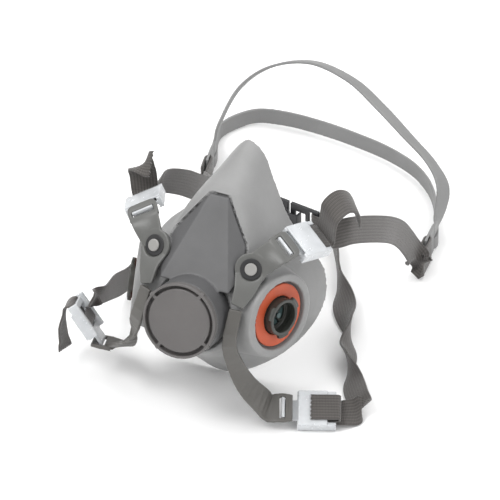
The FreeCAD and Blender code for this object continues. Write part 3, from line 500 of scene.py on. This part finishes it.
def upper_strap(name, b, end, points, across, nodes):
    path = [b.at(LOOP_X, LOW), b.at(LOOP_X + 5.0, LOW - 0.3)] + points
    path += [end.at(28.0, -TURN_R), end.at(24.0, -TURN_R), end.at(17.0, -TURN_R)]
    path += [end.at(x, z) for x, z in arc((10.3, 0.0), TURN_R, 270, 90, 8)]
    path += [end.at(15.0, TURN_R), end.at(21.0, TURN_R - 0.15)]
    ways = [b.y * -1 if b.y.z < 0 else b.y] * 2 + across + [UP] * (len(path) - 2 - len(across))
    made = strap(name, path, ways, replaces=nodes)
    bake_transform(made)
    return made


upper_strap("strap_upper_right_webbing", B_UR, END_R,
            [V((62.5, 66, -6.5)), V((67.0, 100, -26)), V((65.0, 128, -47)), V((63.8, 146, -66)),
             V((64.6, 156, -81))],
            [unit(-0.3, 0.25, 0.9), unit(-0.15, 0.4, 0.9), unit(0, 0.6, 0.8), unit(0, 0.5, 0.85), UP],
            ("strap_upper_right", "strap_loop_right"))
upper_strap("strap_upper_left_webbing", B_UL, END_L,
            [V((-54.5, 66, -5.5)), V((-53.5, 92, -22)), V((-55.5, 120, -44)), V((-63.5, 150, -66)),
             V((-74.5, 172, -80))],
            [unit(0.3, 0.25, 0.9), unit(0.15, 0.4, 0.9), unit(0, 0.6, 0.8), unit(0, 0.5, 0.85), UP],
            ("strap_upper_left", "strap_loop_left"))

# neck straps and the loops that hold the clasp
EDGE_Z = TABLE_Z + STRAP_W / 2 + 0.15
CLASP = Spot((-18.0, 171.0, -86.5), (0.985, -0.174, 0.0), (0.174, 0.985, 0.0), (0, 0, 1))


def clasp_loop(sign):
    """Round the clasp's bar and back, ready to carry on along the strap."""
    inner = [(24.0, -TURN_R), (19.0, -TURN_R)] + [(x, z) for x, z in arc((14.7, 0.0), TURN_R, 270, 90, 8)]
    inner += [(19.0, TURN_R), (24.0, TURN_R)]
    return [CLASP.o + CLASP.x * (sign * x) + CLASP.y * y for x, y in inner]


left_points = [V((-50, 158, EDGE_Z)), V((-66, 136, EDGE_Z)), V((-78.5, 106, EDGE_Z)), V((-80.5, 76, -86.5)),
               V((-78.2, 50, -75.0)), V((-73.5, 26, -63.5)), B_LL.at(20.0, -13.0, 7.5)]
left_ways = [UP, UP, UP, UP, unit(0.05, 0.3, 0.95), unit(0.25, 0.1, 0.96), B_LL.x * 0.55 - B_LL.y * 0.8]
left_pinch = [V((share, 0, 0)) for share in [1.0] * 18 + [0.81, 0.65, 0.81, 1.0]]
right_points = [V((19, 148, EDGE_Z)), V((29.5, 126, EDGE_Z)), V((41.5, 106, -90.0)), V((54, 84, EDGE_Z)),
                V((60.5, 67, -90.5)), V((66.5, 53, EDGE_Z)), V((75.5, 38.5, -90.0)), V((84.0, 26, -89.6)),
                V((89.5, 17.5, -90.6))]
right_ways = [UP, unit(0.05, 0.1, 1.0), unit(0.75, 0.40, 0.62), unit(0.1, 0.0, 1.0), unit(-0.55, -0.3, 0.8),
              unit(-0.1, 0.0, 1.0), unit(0.6, 0.35, 0.75), unit(0.5, 0.55, 0.75), unit(0.2, 0.75, 0.7)]


RUN_STEPS = 40                           # control points in one stretch of a neck strap


def run(name, points, ways, first, last, body=None, bodies=None, nodes=(), pinch=None):
    """The stretch of a long strap between two of its points, sharing one curve with the rest."""
    total = len(points) - 1
    places = [(first + (last - first) * k / RUN_STEPS) / total for k in range(RUN_STEPS + 1)]
    part = [catmull(points, t) for t in places]
    turn = [catmull(ways, t) for t in places]
    gather = [catmull(pinch, t) for t in places] if pinch else None
    made = strap(name, part, turn, body, replaces=nodes, pinch=gather)
    if bodies:
        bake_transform(made)
    return made


left_path = clasp_loop(-1) + left_points
left_path += [B_LL.at(LEFT_IN + 1.2, LOW - 5.6, 2.2), B_LL.at(LEFT_IN, LOW - 1.9)]
left_all = [UP] * 13 + left_ways + [B_LL.x * 0.25 - B_LL.y * 0.95, B_LL.y * -1]
count = len(left_path) - 1
run("neck_strap_left_rear", left_path, left_all, 0, count - 5, "mask",
    nodes=("neck_strap_left", "clasp_loop_left"), pinch=left_pinch)
run("neck_strap_left_fall", left_path, left_all, count - 5, count - 2,
    bodies=("mask", "arm_left"), pinch=left_pinch)
run("neck_strap_left_end", left_path, left_all, count - 2, count,
    bodies=("arm_left", "buckle_ll"), pinch=left_pinch)
right_path = clasp_loop(1) + right_points + [B_LR.at(LOOP_X + 4.2, LOW - 0.1), B_LR.at(LOOP_X, LOW)]
right_all = [UP] * 13 + right_ways + [B_LR.y] * 2
count = len(right_path) - 1
run("neck_strap_right_rear", right_path, right_all, 0, 14, bodies=("clasp", "mask"),
    nodes=("neck_strap_right", "clasp_loop_right"))
run("neck_strap_right_middle", right_path, right_all, 14, count - 5, "mask")
run("neck_strap_right_fall", right_path, right_all, count - 5, count - 2, bodies=("mask", "arm_right"))
run("neck_strap_right_end", right_path, right_all, count - 2, count, bodies=("arm_right", "buckle_lr"))

# ---------------------------------------------------------------- studio
PHOTO_R = V((0.9157, 0.4019, 0.0))       # the picture's right and up, and back towards the camera
PHOTO_U = V((-0.2305, 0.5252, 0.8192))
PHOTO_B = V((0.3292, -0.7501, 0.5736))
AIM = (SHIFT + PHOTO_R * 26.7 + PHOTO_U * 3.9) * MM
FRAME_WIDTH = 0.2778                     # metres across the picture at the aim point
DISTANCE = 4.5                           # metres from the camera to that point
SENSOR = 36.0

camera = bpy.data.objects.new("camera", bpy.data.cameras.new("camera"))
camera.data.sensor_width = SENSOR
camera.data.lens = SENSOR * DISTANCE / FRAME_WIDTH
camera.data.clip_end = 50.0
camera.matrix_world = Matrix.Translation(AIM + PHOTO_B * DISTANCE) @ Matrix(
    (PHOTO_R, PHOTO_U, PHOTO_B)).transposed().to_4x4()
scene.collection.objects.link(camera)
scene.camera = camera


def softbox(name, place, target, size, power):
    data = bpy.data.lights.new(name, "AREA")
    data.shape = "RECTANGLE"
    data.size, data.size_y = size
    data.energy = power
    lamp = bpy.data.objects.new(name, data)
    scene.collection.objects.link(lamp)
    way = (V(place) - V(target)).normalized()
    lamp.matrix_world = Matrix.Translation(V(place)) @ way.to_track_quat("Z", "Y").to_matrix().to_4x4()


softbox("key", (-0.5, -0.75, 1.35), (0.0, 0.0, 0.05), (0.9, 0.7), 14.0)
softbox("fill", (1.2, -0.5, 0.9), (0.0, 0.0, 0.05), (0.9, 0.9), 6.0)
softbox("top", (0.1, 0.7, 1.5), (0.0, 0.0, 0.05), (1.4, 0.9), 12.0)

world = bpy.data.worlds.new("studio")
world.use_nodes = True
world.node_tree.nodes["Background"].inputs["Color"].default_value = (1.0, 1.0, 1.0, 1.0)
world.node_tree.nodes["Background"].inputs["Strength"].default_value = 0.75
scene.world = world
scene.view_settings.view_transform = "Standard"

HALF = 6.0                               # half the floor's width, metres
floor_mesh = bpy.data.meshes.new("floor")
floor_mesh.from_pydata([(-HALF, -HALF, 0), (HALF, -HALF, 0), (HALF, HALF, 0), (-HALF, HALF, 0)],
                       [], [(0, 1, 2, 3)])
floor = bpy.data.objects.new("floor", floor_mesh)
scene.collection.objects.link(floor)
paper = Shader("paper", 0.9)
paper_tone = paper.ramp(paper.noise(14.0), [(0.3, (0.93, 0.93, 0.93)), (0.7, (0.96, 0.96, 0.96))])
floor_mesh.materials.append(paper.finish(paper_tone))
